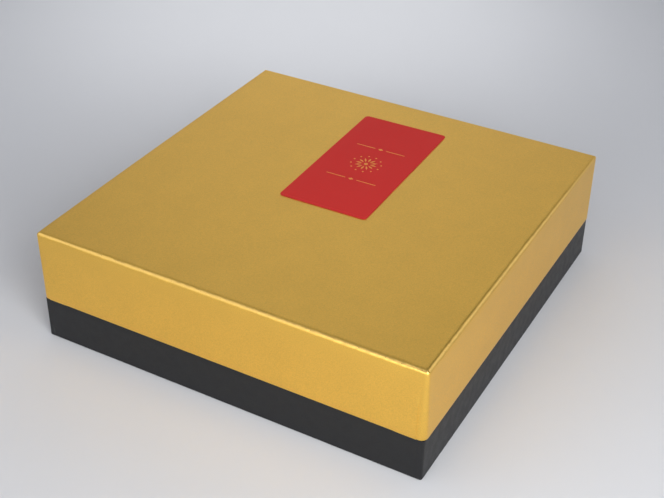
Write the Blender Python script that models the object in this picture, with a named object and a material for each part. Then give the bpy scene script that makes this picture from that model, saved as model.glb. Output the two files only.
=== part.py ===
"""Square gift box for confectionery in metres, +Z up, origin under its middle on the table.

The base is a folded greyboard tray in black paper, and the lid a folded greyboard tray in gold paper.
A paper-covered neck glued inside the base stands up out of it, and the lid slips over the neck until it
rests rim to rim on the base. Interlocking card dividers make a grid of cells inside the neck, and a
padded sheet lies on them. Each sheet and board is a solid of its own, a glue line from its neighbour.

A wall's section is drawn in two lengths: the depth below the wall's outer face, and the rise from the
outer face of its tray's panel towards its rim. Each tray has a function that places such a point.
"""

import math

import bmesh
import bpy
from mathutils import Matrix, Vector

# The finished box
SIDE = 0.210
BASE_HEIGHT = 0.0235
LID_HEIGHT = 0.0387
LID_FLARE = 0.0006

# How far its edges are rounded
LID_TOP_CORNER_RADIUS = 0.0021
LID_RIM_CORNER_RADIUS = 0.0035
BASE_CORNER_RADIUS = 0.0012
LID_FOLD_RADIUS = 0.0020
BASE_FOLD_RADIUS = 0.0012
RIM_RADIUS = 0.0006
SHARPEST_RADIUS = 0.0001

# Thicknesses
BOARD = 0.0015
WRAP_PAPER = 0.0002
LINER_PAPER = 0.0002
STAY_TAPE = 0.00015
NECK_BOARD = 0.0012
UNDERSIDE_CARD = 0.0004
DIVIDER_CARD = 0.0008
LABEL_PAPER = 0.0002

# Clearances
GLUE_LINE = 0.0001
REST_GAP = 0.0003
NECK_CLEARANCE = 0.0003
SEAM_WIDTH = 0.0003
SEAM_SHORT_OF_PANEL = 0.0005

# How far each sheet reaches past the edge that it is turned over, or stops short of one
LID_TURN_IN = 0.020
BASE_TURN_IN = 0.015
TURN_UNDER = 0.015
UNDERSIDE_MARGIN = 0.003
LINER_MARGIN = 0.001
STAY_LEG = 0.018
STAY_SHORT_OF_RIM = 0.002
STAY_SHORT_OF_FOLD = 0.0005

# The neck
NECK_RISE = 0.030
NECK_COVER_BELOW_RIM = 0.010
NECK_COVER_ABOVE_FLOOR = 0.001
NECK_TAPE_LEG = 0.012
NECK_TAPE_MARGIN = 0.002

# The dividers
CELLS_PER_SIDE = 4
DIVIDER_END_GAP = 0.0005
DIVIDER_CORNER_RADIUS = 0.003
SLOT_CLEARANCE = 0.0003
SLOT_LEAD_IN = 0.0012

# The pad on them
PAD_THICKNESS = 0.003
PAD_EDGE_GAP = 0.001
PAD_BELOW_NECK = 0.001
PAD_CORNER_RADIUS = 0.003
PAD_EDGE_RADIUS = 0.0010

# The label on the lid, and how far its middle lies from the lid's middle
LABEL_WIDTH = 0.0494
LABEL_LENGTH = 0.0986
LABEL_CORNER_RADIUS = 0.0022
LABEL_RIGHT_OF_MIDDLE = 0.0020
LABEL_BEHIND_MIDDLE = 0.0337
LABEL_TURN_DEGREES = 0.9

# How finely round stretches are cut
CORNER_SEGMENTS = 4
FOLD_SEGMENTS = 5
RIM_SEGMENTS = 2
PLATE_SEGMENTS = 5

# Depths of the layers of a tray's wall, which are the rises of its panel's layers too
PASTED = WRAP_PAPER + GLUE_LINE
TAPED = STAY_TAPE + GLUE_LINE
BOARD_OUTER = PASTED + TAPED
BOARD_INNER = BOARD_OUTER + BOARD
WALL = BOARD_INNER + PASTED

# Depths of the layers of the neck
NECK_OUTER = WALL + NECK_CLEARANCE
NECK_BOARD_OUTER = NECK_OUTER + PASTED
NECK_BOARD_INNER = NECK_BOARD_OUTER + NECK_BOARD
NECK_TAPE_INNER = NECK_BOARD_INNER + TAPED
NECK_INNER = NECK_TAPE_INNER + PASTED

# Heights above the table
BASE_WRAP_FOOT = UNDERSIDE_CARD + GLUE_LINE
FLOOR_BOARD_TOP = BASE_WRAP_FOOT + BOARD_INNER
FLOOR = FLOOR_BOARD_TOP + GLUE_LINE + LINER_PAPER
NECK_FOOT = FLOOR_BOARD_TOP + REST_GAP
NECK_TOP = BASE_HEIGHT + NECK_RISE
NECK_BOARD_TOP = NECK_TOP - PASTED
DIVIDERS_FOOT = FLOOR + REST_GAP
PAD_FOOT = NECK_TOP - PAD_BELOW_NECK - PAD_THICKNESS
LID_FOOT = BASE_HEIGHT + REST_GAP

# Rises of the rims above their panels' outer faces
BASE_RIM = BASE_HEIGHT - BASE_WRAP_FOOT
LID_RIM = LID_HEIGHT

# The space inside the neck
INSIDE = SIDE - 2 * NECK_INNER
CELL_PITCH = INSIDE / CELLS_PER_SIDE
DIVIDER_HEIGHT = PAD_FOOT - REST_GAP - DIVIDERS_FOOT
DIVIDER_LENGTH = INSIDE - 2 * DIVIDER_END_GAP

CORNERS = ("rear_right", "rear_left", "front_left", "front_right")
SEAMED_NECK_CORNER = "rear_left"

# Name of each finish, with its sRGB colour, roughness and metallic value
FINISHES = {
    "gold_paper": ("C6A153", 0.38, 0.85),
    "black_paper": ("37383A", 0.75, 0.0),
    "greyboard": ("9C958A", 0.92, 0.0),
    "kraft_tape": ("B8966A", 0.80, 0.0),
    "white_liner_paper": ("ECE9E1", 0.85, 0.0),
    "ivory_card": ("EFE8D6", 0.70, 0.0),
    "pad_paper": ("F3EFE4", 0.60, 0.0),
    "red_label_paper": ("BE3534", 0.45, 0.0),
}


def clear_scene():
    for obj in list(bpy.data.objects):
        bpy.data.objects.remove(obj, do_unlink=True)


def linear(channel):
    """Linear value of one sRGB channel, both from 0 to 1."""
    return channel / 12.92 if channel <= 0.04045 else ((channel + 0.055) / 1.055) ** 2.4


def finish(name):
    """The material of that name, made when it is first asked for."""
    made = bpy.data.materials.get(name)
    if made:
        return made
    code, roughness, metallic = FINISHES[name]
    colour = [linear(int(code[i:i + 2], 16) / 255) for i in (0, 2, 4)] + [1.0]
    made = bpy.data.materials.new(name)
    made.use_nodes = True
    shader = made.node_tree.nodes["Principled BSDF"]
    shader.inputs["Base Color"].default_value = colour
    shader.inputs["Roughness"].default_value = roughness
    shader.inputs["Metallic"].default_value = metallic
    made.diffuse_color = colour
    return made


def carrier(name, height, parent=None, parent_height=0):
    """An empty on the box's upright middle line, for the pieces that lift out together."""
    empty = bpy.data.objects.new(name, None)
    bpy.context.scene.collection.objects.link(empty)
    empty.parent = parent
    empty.location.z = height - parent_height
    return empty


def piece(name, bm, finish_name, parent, smooth_below=40):
    """The object of one sub-part, from a bmesh drawn in its carrier's coordinates."""
    bmesh.ops.recalc_face_normals(bm, faces=bm.faces)
    mesh = bpy.data.meshes.new(name)
    bm.to_mesh(mesh)
    bm.free()
    mesh.shade_smooth()
    mesh.set_sharp_from_angle(angle=math.radians(smooth_below))
    mesh.materials.append(finish(finish_name))
    obj = bpy.data.objects.new(name, mesh)
    bpy.context.scene.collection.objects.link(obj)
    obj.parent = parent
    return obj


def arc(depth, rise, radius, start, end, segments):
    """Points of a section along an arc round (depth, rise), with its angles in degrees."""
    angles = [math.radians(start + (end - start) * i / segments) for i in range(segments + 1)]
    return [(depth + radius * math.cos(a), rise + radius * math.sin(a)) for a in angles]


def over_edge(outer, inner, edge, inset):
    """Over a wall's rounded edge, at a distance inside the sheet whose faces and edge are given."""
    radius = max(RIM_RADIUS - inset, SHARPEST_RADIUS)
    reach = inset + radius
    up = arc(outer + reach, edge - reach, radius, 180, 90, RIM_SEGMENTS)
    down = arc(inner - reach, edge - reach, radius, 90, 0, RIM_SEGMENTS)
    return up + down


def wrap_face(fold, rim, turn_in, inset):
    """One face of a wrap: round the panel's fold, along the wall, over its rim and down inside it."""
    around_fold = arc(fold, fold, fold - inset, 270, 180, FOLD_SEGMENTS)
    return around_fold + over_edge(0, WALL, rim, inset) + [(WALL - inset, rim - turn_in)]


def tray_section(fold, rim):
    """The section of a greyboard tray, from its panel's outer face over its rim to the inner face."""
    radius = max(fold - BOARD_OUTER, SHARPEST_RADIUS)
    centre = BOARD_OUTER + radius
    around_fold = arc(centre, centre, radius, 270, 180, FOLD_SEGMENTS)
    over_rim = over_edge(BOARD_OUTER - PASTED, BOARD_INNER + PASTED, rim, PASTED)
    return around_fold + over_rim + [(BOARD_INNER, BOARD_INNER)]


def in_base(depth, rise):
    """Half the width, corner radius and height of a point of the base's section."""
    return SIDE / 2 - depth, max(BASE_CORNER_RADIUS - depth, SHARPEST_RADIUS), BASE_WRAP_FOOT + rise


def in_lid(depth, rise):
    """The same for the lid, whose walls lean out and whose corners grow rounder towards its rim."""
    share = rise / LID_HEIGHT
    radius = LID_TOP_CORNER_RADIUS + (LID_RIM_CORNER_RADIUS - LID_TOP_CORNER_RADIUS) * share
    return SIDE / 2 - depth + LID_FLARE * share, max(radius - depth, SHARPEST_RADIUS), LID_HEIGHT - rise


def in_neck(depth, height):
    """The same for the neck, whose corners follow the inside of the lid's rim."""
    return SIDE / 2 - depth, max(LID_RIM_CORNER_RADIUS - depth, SHARPEST_RADIUS), height


def corner_points(half, radius, height, turn=0):
    """Points along the rear right corner of a square, turned by so many quarter turns."""
    middle = half - radius
    points = []
    for i in range(CORNER_SEGMENTS + 1):
        angle = math.pi / 2 * i / CORNER_SEGMENTS
        points.append(Vector((middle + radius * math.cos(angle), middle + radius * math.sin(angle), height)))
    quarter = Matrix.Rotation(turn * math.pi / 2, 3, "Z")
    return [quarter @ point for point in points]


def loft(rings, closed=False):
    """A solid through rings of points, joined end to end if it is closed, and otherwise capped."""
    bm = bmesh.new()
    first = ring = [bm.verts.new(point) for point in rings[0]]
    edges = [bm.edges.new(pair) for pair in zip(ring, ring[1:] + ring[:1])]
    if not closed:
        bmesh.ops.contextual_create(bm, geom=edges)
    for points in rings[1:] + rings[:1] if closed else rings[1:]:
        made = bmesh.ops.extrude_edge_only(bm, edges=edges)["geom"]
        fresh = {item for item in made if isinstance(item, bmesh.types.BMVert)}
        edges = [e for e in made if isinstance(e, bmesh.types.BMEdge) and fresh.issuperset(e.verts)]
        ring = [next(e.other_vert(v) for e in v.link_edges if e.other_vert(v) in fresh) for v in ring]
        for vert, point in zip(ring, points):
            vert.co = point
    if closed:
        bmesh.ops.weld_verts(bm, targetmap=dict(zip(ring, first)))
    else:
        bmesh.ops.contextual_create(bm, geom=edges)
    return bm


def swept(section, place, closed=False):
    """A solid that carries a section round the box's four sides."""
    rings = []
    for depth, rise in section:
        half, radius, height = place(depth, rise)
        rings.append([p for turn in range(len(CORNERS)) for p in corner_points(half, radius, height, turn)])
    return loft(rings, closed)


def corner_tape(place, outer, inner, low, high, leg, corner):
    """A strip of tape folded round an upright corner, between two depths and two rises."""
    reach = SIDE / 2 - leg
    quarter = Matrix.Rotation(CORNERS.index(corner) * math.pi / 2, 3, "Z")
    rings = []
    for rise in (low, high):
        ring = []
        for depth, step in ((outer, 1), (inner, -1)):
            half, radius, height = place(depth, rise)
            side = [Vector((half, reach, height)), *corner_points(half, radius, height)]
            side.append(Vector((reach, half, height)))
            ring += side[::step]
        rings.append([quarter @ point for point in ring])
    return loft(rings)


def slit_corner(board, low, high, corner):
    """Parts two walls of a folded board at their corner, from one height of its carrier to another."""
    bm = bmesh.new()
    bmesh.ops.create_cube(bm, size=1)
    bmesh.ops.scale(bm, vec=(SIDE / 2, SEAM_WIDTH, high - low), verts=bm.verts)
    bmesh.ops.translate(bm, vec=(SIDE * 3 / 4, 0, (low + high) / 2), verts=bm.verts)
    turn = Matrix.Rotation(math.pi / 4 + CORNERS.index(corner) * math.pi / 2, 3, "Z")
    bmesh.ops.rotate(bm, cent=(0, 0, 0), matrix=turn, verts=bm.verts)
    cutter = piece(f"{board.name}_slit_{corner}", bm, "greyboard", board.parent)
    cutter.hide_render = True
    cutter.display_type = "WIRE"
    cut = board.modifiers.new("slit_" + corner, "BOOLEAN")
    cut.operation = "DIFFERENCE"
    cut.solver = "EXACT"
    cut.object = cutter


def sheet(side, low, high):
    """A square flat sheet between two heights."""
    bm = bmesh.new()
    bmesh.ops.create_cube(bm, size=1)
    bmesh.ops.scale(bm, vec=(side, side, high - low), verts=bm.verts)
    bmesh.ops.translate(bm, vec=(0, 0, (low + high) / 2), verts=bm.verts)
    return bm


def rounded_plate(width, length, thickness, corner_radius, edge_radius=0):
    """A flat plate with rounded corners that stands on its carrier's origin."""
    bm = bmesh.new()
    bmesh.ops.create_cube(bm, size=1)
    bmesh.ops.scale(bm, vec=(width, length, thickness), verts=bm.verts)
    bmesh.ops.translate(bm, vec=(0, 0, thickness / 2), verts=bm.verts)
    upright = [e for e in bm.edges if e.verts[0].co.xy == e.verts[1].co.xy]
    bmesh.ops.bevel(bm, geom=upright, offset=corner_radius, segments=PLATE_SEGMENTS,
                    profile=0.5, affect="EDGES", material=-1)
    if edge_radius:
        flat = [e for e in bm.edges if e.verts[0].co.z == e.verts[1].co.z]
        bmesh.ops.bevel(bm, geom=flat, offset=edge_radius, segments=RIM_SEGMENTS,
                        profile=0.5, affect="EDGES", material=-1)
    return bm


def base_tray(base):
    """The base's greyboard tray with the tape over its slit corners."""
    board = piece("base_board", swept(tray_section(BASE_FOLD_RADIUS, BASE_RIM), in_base), "greyboard", base)
    for corner in CORNERS:
        slit_corner(board, FLOOR_BOARD_TOP + SEAM_SHORT_OF_PANEL, BASE_HEIGHT, corner)
        tape = corner_tape(in_base, PASTED, PASTED + STAY_TAPE, BASE_FOLD_RADIUS + STAY_SHORT_OF_FOLD,
                           BASE_RIM - STAY_SHORT_OF_RIM, STAY_LEG, corner)
        piece("base_corner_stay_" + corner, tape, "kraft_tape", base)


def base_papers(base):
    """The black paper round the base's walls, the card under it and the paper on its floor."""
    faces = []
    for inset, step in ((0, 1), (WRAP_PAPER, -1)):
        face = [(TURN_UNDER, inset)] + wrap_face(BASE_FOLD_RADIUS, BASE_RIM, BASE_TURN_IN, inset)
        faces += face[::step]
    piece("base_wrap", swept(faces, in_base, closed=True), "black_paper", base)
    underside = sheet(SIDE - 2 * UNDERSIDE_MARGIN, 0, UNDERSIDE_CARD)
    piece("base_underside_sheet", underside, "black_paper", base)
    liner = sheet(INSIDE - 2 * LINER_MARGIN, FLOOR - LINER_PAPER, FLOOR)
    piece("base_floor_liner", liner, "white_liner_paper", base)


def neck(base):
    """The board frame inside the base, the tape on its one seam and the paper over it."""
    frame = [(NECK_BOARD_OUTER, NECK_FOOT)]
    frame += over_edge(NECK_BOARD_OUTER - PASTED, NECK_BOARD_INNER + PASTED, NECK_TOP, PASTED)
    frame.append((NECK_BOARD_INNER, NECK_FOOT))
    board = piece("neck_board", swept(frame, in_neck, closed=True), "greyboard", base)
    slit_corner(board, 0, NECK_TOP, SEAMED_NECK_CORNER)
    tape = corner_tape(in_neck, NECK_TAPE_INNER - STAY_TAPE, NECK_TAPE_INNER, NECK_FOOT + NECK_TAPE_MARGIN,
                       NECK_BOARD_TOP - NECK_TAPE_MARGIN, NECK_TAPE_LEG, SEAMED_NECK_CORNER)
    piece("neck_seam_tape", tape, "kraft_tape", base)
    faces = []
    for inset, step in ((0, 1), (WRAP_PAPER, -1)):
        face = [(NECK_OUTER + inset, BASE_HEIGHT - NECK_COVER_BELOW_RIM)]
        face += over_edge(NECK_OUTER, NECK_INNER, NECK_TOP, inset)
        face.append((NECK_INNER - inset, FLOOR + NECK_COVER_ABOVE_FLOOR))
        faces += face[::step]
    piece("neck_cover", swept(faces, in_neck, closed=True), "black_paper", base)


def slotted_edge(depth):
    """Points from left to right along a divider's edge that is slotted at each crossing."""
    half_slot = DIVIDER_CARD / 2 + SLOT_CLEARANCE
    points = []
    for crossing in range(1, CELLS_PER_SIDE):
        middle = crossing * CELL_PITCH - INSIDE / 2
        points += [(middle - half_slot - SLOT_LEAD_IN, 0), (middle - half_slot, SLOT_LEAD_IN)]
        points += [(middle - half_slot, depth), (middle + half_slot, depth)]
        points += [(middle + half_slot, SLOT_LEAD_IN), (middle + half_slot + SLOT_LEAD_IN, 0)]
    return points


def divider(slots_open_up):
    """A card strip along X, slotted to half its height, with its upper corners rounded."""
    end = DIVIDER_LENGTH / 2
    centre = DIVIDER_HEIGHT - DIVIDER_CORNER_RADIUS
    slots = slotted_edge((DIVIDER_HEIGHT + SLOT_CLEARANCE) / 2)
    outline = [(-end, 0)] + (slots if not slots_open_up else []) + [(end, 0)]
    outline += arc(end - DIVIDER_CORNER_RADIUS, centre, DIVIDER_CORNER_RADIUS, 0, 90, PLATE_SEGMENTS)
    if slots_open_up:
        outline += [(along, DIVIDER_HEIGHT - rise) for along, rise in reversed(slots)]
    outline += arc(DIVIDER_CORNER_RADIUS - end, centre, DIVIDER_CORNER_RADIUS, 90, 180, PLATE_SEGMENTS)
    faces = (-DIVIDER_CARD / 2, DIVIDER_CARD / 2)
    return loft([[Vector((along, across, up)) for along, up in outline] for across in faces])


def dividers(grid):
    """The strips across the box, slotted from above, and those from front to rear, from below."""
    for crossing in range(1, CELLS_PER_SIDE):
        place = crossing * CELL_PITCH - INSIDE / 2
        across = piece(f"divider_across_{crossing}", divider(True), "ivory_card", grid)
        across.location.y = place
        deep = piece(f"divider_deep_{crossing}", divider(False), "ivory_card", grid)
        deep.location.x = place
        deep.rotation_euler.z = math.pi / 2


def cushion_pad(pad):
    side = INSIDE - 2 * PAD_EDGE_GAP
    plate = rounded_plate(side, side, PAD_THICKNESS, PAD_CORNER_RADIUS, PAD_EDGE_RADIUS)
    piece("cushion_pad", plate, "pad_paper", pad)


def lid_tray(lid):
    """The lid's greyboard tray with the tape over its slit corners."""
    board = piece("lid_board", swept(tray_section(LID_FOLD_RADIUS, LID_RIM), in_lid), "greyboard", lid)
    for corner in CORNERS:
        slit_corner(board, 0, LID_HEIGHT - BOARD_INNER - SEAM_SHORT_OF_PANEL, corner)
        tape = corner_tape(in_lid, PASTED, PASTED + STAY_TAPE, LID_FOLD_RADIUS + STAY_SHORT_OF_FOLD,
                           LID_RIM - STAY_SHORT_OF_RIM, STAY_LEG, corner)
        piece("lid_corner_stay_" + corner, tape, "kraft_tape", lid)


def lid_papers(lid):
    """The gold paper over the lid, the paper on its ceiling and the label on its top."""
    outside = wrap_face(LID_FOLD_RADIUS, LID_RIM, LID_TURN_IN, 0)
    inside = wrap_face(LID_FOLD_RADIUS, LID_RIM, LID_TURN_IN, WRAP_PAPER)
    piece("lid_wrap", swept(outside + inside[::-1], in_lid), "gold_paper", lid)
    ceiling = LID_HEIGHT - BOARD_INNER - GLUE_LINE
    liner = sheet(SIDE - 2 * (BOARD_INNER + LINER_MARGIN), ceiling - LINER_PAPER, ceiling)
    piece("lid_liner", liner, "white_liner_paper", lid)
    plate = rounded_plate(LABEL_WIDTH, LABEL_LENGTH, LABEL_PAPER, LABEL_CORNER_RADIUS)
    label = piece("lid_label", plate, "red_label_paper", lid)
    label.location = (LABEL_RIGHT_OF_MIDDLE, LABEL_BEHIND_MIDDLE, LID_HEIGHT + GLUE_LINE)
    label.rotation_euler.z = math.radians(LABEL_TURN_DEGREES)


def main():
    clear_scene()
    base = carrier("base", 0)
    grid = carrier("divider_grid", DIVIDERS_FOOT, base)
    pad = carrier("pad", PAD_FOOT, grid, DIVIDERS_FOOT)
    lid = carrier("lid", LID_FOOT, pad, PAD_FOOT)
    base_tray(base)
    base_papers(base)
    neck(base)
    dividers(grid)
    cushion_pad(pad)
    lid_tray(lid)
    lid_papers(lid)


main()
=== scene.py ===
"""Papers, boards, cards, pad and label of a square gift box, and the studio that it is photographed in.

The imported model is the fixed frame: every piece here is drawn in its coordinates, in metres, +Z up. The
papers of the lid, base and neck are thin skins, each made by carrying a rounded square ring through the
stations of a wall's section. A station is a depth below the wall's outer face, a rise from the tray's panel
towards its rim, and the angle that the paper's face looks in there: 270 degrees out of the panel, 180 out of
the wall, 90 past the rim and 0 into the tray.
"""

import math

import bmesh
import bpy
from mathutils import Matrix, Vector, noise


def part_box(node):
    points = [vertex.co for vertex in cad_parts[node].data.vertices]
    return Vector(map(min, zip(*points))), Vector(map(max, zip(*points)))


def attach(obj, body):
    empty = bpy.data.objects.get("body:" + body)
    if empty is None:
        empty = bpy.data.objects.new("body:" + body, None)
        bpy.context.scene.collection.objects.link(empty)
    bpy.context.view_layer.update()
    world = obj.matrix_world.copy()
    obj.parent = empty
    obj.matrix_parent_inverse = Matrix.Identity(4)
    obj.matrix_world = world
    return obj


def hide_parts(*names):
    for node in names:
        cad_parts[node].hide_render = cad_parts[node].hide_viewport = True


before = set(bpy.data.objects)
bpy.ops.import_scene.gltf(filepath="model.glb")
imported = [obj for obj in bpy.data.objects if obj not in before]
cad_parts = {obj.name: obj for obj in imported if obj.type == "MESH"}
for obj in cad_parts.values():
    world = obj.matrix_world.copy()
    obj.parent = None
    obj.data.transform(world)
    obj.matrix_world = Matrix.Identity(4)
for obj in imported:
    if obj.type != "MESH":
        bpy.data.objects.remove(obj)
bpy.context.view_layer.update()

bl_info = {
    "name": "Gift box finishes",
    "version": (1, 0, 0),
    "blender": (4, 5, 0),
    "location": "View3D > Sidebar > Gift box",
    "description": "Makes the papers, card, pad and label of a gift box round its packed model",
    "category": "Object",
}

MILLIMETRE = 0.001

# How finely the papers are cut
FOLD_SEGMENTS = 24
LIP_SEGMENTS = 4
CORNER_SEGMENTS = 8
COARSE_SPACING = 0.0025
FINE_SPACING = 0.0010
FINE_STRETCH = 0.016
STEP_WIDTH = 0.0001
WALL_SPACING = 0.0035

# How much of the step between the papers the wall drops by past the tab under them
TAB_STEP = 0.7

# The camera of the photograph, whose frame is 664 by 498 pixels
CAMERA_PLACE = (0.2541, -0.4614, 0.3820)
CAMERA_AZIMUTH = 28.777
CAMERA_ELEVATION = 33.952
CAMERA_ROLL = 0.840
CAMERA_LENS = 65.32
CAMERA_SENSOR = 36.0


def linear(code):
    """Linear red, green and blue of an sRGB hex colour."""
    shares = [int(code[i:i + 2], 16) / 255 for i in (0, 2, 4)]
    return [s / 12.92 if s <= 0.04045 else ((s + 0.055) / 1.055) ** 2.4 for s in shares]


def repeats(millimetres):
    """The scale of a texture node whose features are that many millimetres apart."""
    return 1 / (millimetres * MILLIMETRE)


def result(source):
    """The output that is meant: the source itself, or the first one that a node has in use."""
    if isinstance(source, bpy.types.Node):
        return next(output for output in source.outputs if output.enabled)
    return source


def add(tree, kind, inputs=None, **settings):
    """Adds a node with its settings, and gives each input a value, an output or a node's result."""
    node = tree.nodes.new("ShaderNode" + kind)
    for name, value in settings.items():
        setattr(node, name, value)
    for name, source in (inputs or {}).items():
        source = result(source)
        if isinstance(source, bpy.types.NodeSocket):
            tree.links.new(source, node.inputs[name])
        else:
            node.inputs[name].default_value = source
    return node


def opaque(colour, factor=1.0, lift=0.0):
    """The colour, changed by a factor and a lift, with an alpha of one."""
    return [min(1.0, c * factor + lift) for c in colour] + [1.0]


def begin(name, fixed=None):
    """A new material whose shader has those fixed inputs, its nodes, and the place on the object."""
    material = bpy.data.materials.new(name)
    material.use_nodes = True
    tree = material.node_tree
    shader = tree.nodes["Principled BSDF"]
    for socket, value in (fixed or {}).items():
        shader.inputs[socket].default_value = value
    return material, tree, add(tree, "TexCoord").outputs["Object"]


def feed(tree, **sources):
    """Links the shader's colour, roughness and normal to the results of other nodes."""
    sockets = {"colour": "Base Color", "roughness": "Roughness", "normal": "Normal"}
    shader = tree.nodes["Principled BSDF"]
    for name, source in sources.items():
        tree.links.new(result(source), shader.inputs[sockets[name]])


class LidPaperSettings(bpy.types.PropertyGroup):
    """Sizes and colour of the gold paper on the lid."""

    paper: bpy.props.FloatProperty(
        name="Paper", description="Thickness of the paper", default=0.0002, unit="LENGTH", precision=5)
    wall: bpy.props.FloatProperty(
        name="Wall", description="Thickness of the papered wall", default=0.00235, unit="LENGTH", precision=5)
    fold: bpy.props.FloatProperty(
        name="Fold", description="Radius of the fold along the front of the top", default=0.0020,
        unit="LENGTH", precision=5)
    lip: bpy.props.FloatProperty(
        name="Lip", description="Radius of the paper over the rim", default=0.0003,
        unit="LENGTH", precision=5)
    flare: bpy.props.FloatProperty(
        name="Flare", description="How far each wall leans out", default=0.0006, unit="LENGTH", precision=5)
    top_corner: bpy.props.FloatProperty(
        name="Top corner", description="Radius of an upright corner at the top",
        default=0.0018, unit="LENGTH", precision=5)
    rim_corner: bpy.props.FloatProperty(
        name="Rim corner", description="Radius of an upright corner at the rim",
        default=0.0035, unit="LENGTH", precision=5)
    turn_in: bpy.props.FloatProperty(
        name="Turn-in", description="How far the paper reaches inside", default=0.020, unit="LENGTH")
    colour: bpy.props.FloatVectorProperty(
        name="Gold", description="Colour of the lacquer over the metal",
        default=linear("F7C65C"), subtype="COLOR", min=0, max=1)


class BasePaperSettings(bpy.types.PropertyGroup):
    """Sizes and colour of the black paper on the base and the neck."""

    paper: bpy.props.FloatProperty(
        name="Paper", description="Thickness of the paper", default=0.0002, unit="LENGTH", precision=5)
    wall: bpy.props.FloatProperty(
        name="Wall", description="Thickness of the papered wall", default=0.00235, unit="LENGTH", precision=5)
    fold: bpy.props.FloatProperty(
        name="Fold", description="Radius of the fold under the base", default=0.0005,
        unit="LENGTH", precision=5)
    lip: bpy.props.FloatProperty(
        name="Lip", description="Radius of the paper over the rim", default=0.0003,
        unit="LENGTH", precision=5)
    corner: bpy.props.FloatProperty(
        name="Corner", description="Radius of an upright corner", default=0.0012, unit="LENGTH", precision=5)
    neck_corner: bpy.props.FloatProperty(
        name="Neck corner", description="Radius of the neck's upright corner",
        default=0.00085, unit="LENGTH", precision=5)
    turn_in: bpy.props.FloatProperty(
        name="Turn-in", description="How far the paper reaches inside", default=0.015, unit="LENGTH")
    turn_under: bpy.props.FloatProperty(
        name="Turn-under", description="How far the paper reaches under the base", default=0.015,
        unit="LENGTH")
    colour: bpy.props.FloatVectorProperty(
        name="Black", description="Colour of the dyed paper",
        default=linear("0F0F10"), subtype="COLOR", min=0, max=1)


class LabelSettings(bpy.types.PropertyGroup):
    """Sizes and colours of the label and the foil on it."""

    width: bpy.props.FloatProperty(
        name="Width", description="Width of the label", default=0.0494, unit="LENGTH")
    length: bpy.props.FloatProperty(
        name="Length", description="Length of the label", default=0.0986, unit="LENGTH")
    corner: bpy.props.FloatProperty(
        name="Corner", description="Radius of its corners", default=0.0022, unit="LENGTH")
    turn: bpy.props.FloatProperty(
        name="Turn", description="How far it was stuck on askew",
        default=math.radians(0.9), subtype="ANGLE", unit="ROTATION")
    stroke: bpy.props.FloatProperty(
        name="Stroke", description="Width of the foil's lines", default=0.0005, unit="LENGTH", precision=5)
    foil: bpy.props.FloatProperty(
        name="Foil", description="Thickness of the foil", default=0.00002, unit="LENGTH", precision=6)
    colour: bpy.props.FloatVectorProperty(
        name="Red", description="Colour of the label's coating",
        default=linear("D52C25"), subtype="COLOR", min=0, max=1)
    foil_colour: bpy.props.FloatVectorProperty(
        name="Foil", description="Colour of the stamped foil",
        default=linear("F2A23F"), subtype="COLOR", min=0, max=1)


class PadSettings(bpy.types.PropertyGroup):
    """Sizes and colour of the cushion pad."""

    diamond: bpy.props.FloatProperty(
        name="Diamond", description="Width of a quilted diamond from corner to corner",
        default=0.018, unit="LENGTH")
    pressed: bpy.props.FloatProperty(
        name="Pressed", description="Thickness left along the pressed lines", default=0.0010,
        unit="LENGTH", precision=5)
    border: bpy.props.FloatProperty(
        name="Border", description="Width of the crimped border", default=0.0045, unit="LENGTH", precision=5)
    pull_in: bpy.props.FloatProperty(
        name="Pull-in", description="How far the middle of a side is drawn in", default=0.0009,
        unit="LENGTH", precision=5)
    colour: bpy.props.FloatVectorProperty(
        name="Wadding", description="Colour of the crepe paper", default=linear("F3EBDC"),
        subtype="COLOR", min=0, max=1)


class StudioSettings(bpy.types.PropertyGroup):
    """The sheet that the box stands on and the light round it."""

    sheet_colour: bpy.props.FloatVectorProperty(
        name="Sheet", description="Colour of the backdrop paper",
        default=linear("DBDADA"), subtype="COLOR", min=0, max=1)
    sky: bpy.props.FloatProperty(
        name="Room light", description="Strength of the even light of the room", default=0.20, min=0)
    left: bpy.props.FloatProperty(
        name="Left light", description="Power of the softbox to the left of the camera",
        default=5.0, min=0, subtype="POWER", unit="POWER")
    low: bpy.props.FloatProperty(
        name="Low light", description="Power of the low softbox before the box",
        default=7.3, min=0, subtype="POWER", unit="POWER")
    overhead: bpy.props.FloatProperty(
        name="Overhead light", description="Power of the softbox over the left of the box",
        default=0.9, min=0, subtype="POWER", unit="POWER")
    near: bpy.props.FloatProperty(
        name="Near light", description="Power of the small softbox between the camera and the right side",
        default=3.5, min=0, subtype="POWER", unit="POWER")
    right: bpy.props.FloatProperty(
        name="Right light", description="Power of the low softbox to the right of the camera",
        default=3.7, min=0, subtype="POWER", unit="POWER")
    edge: bpy.props.FloatProperty(
        name="Edge light", description="Power of the softbox behind the box that lights its right edge",
        default=2.1, min=0, subtype="POWER", unit="POWER")
    floor_spot: bpy.props.FloatProperty(
        name="Floor spot", description="Power of the spot on the sheet close behind the box",
        default=47.0, min=0, subtype="POWER", unit="POWER")
    wall_spot: bpy.props.FloatProperty(
        name="Wall spot", description="Power of the spot on the sheet where it rises",
        default=73.0, min=0, subtype="POWER", unit="POWER")


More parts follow.
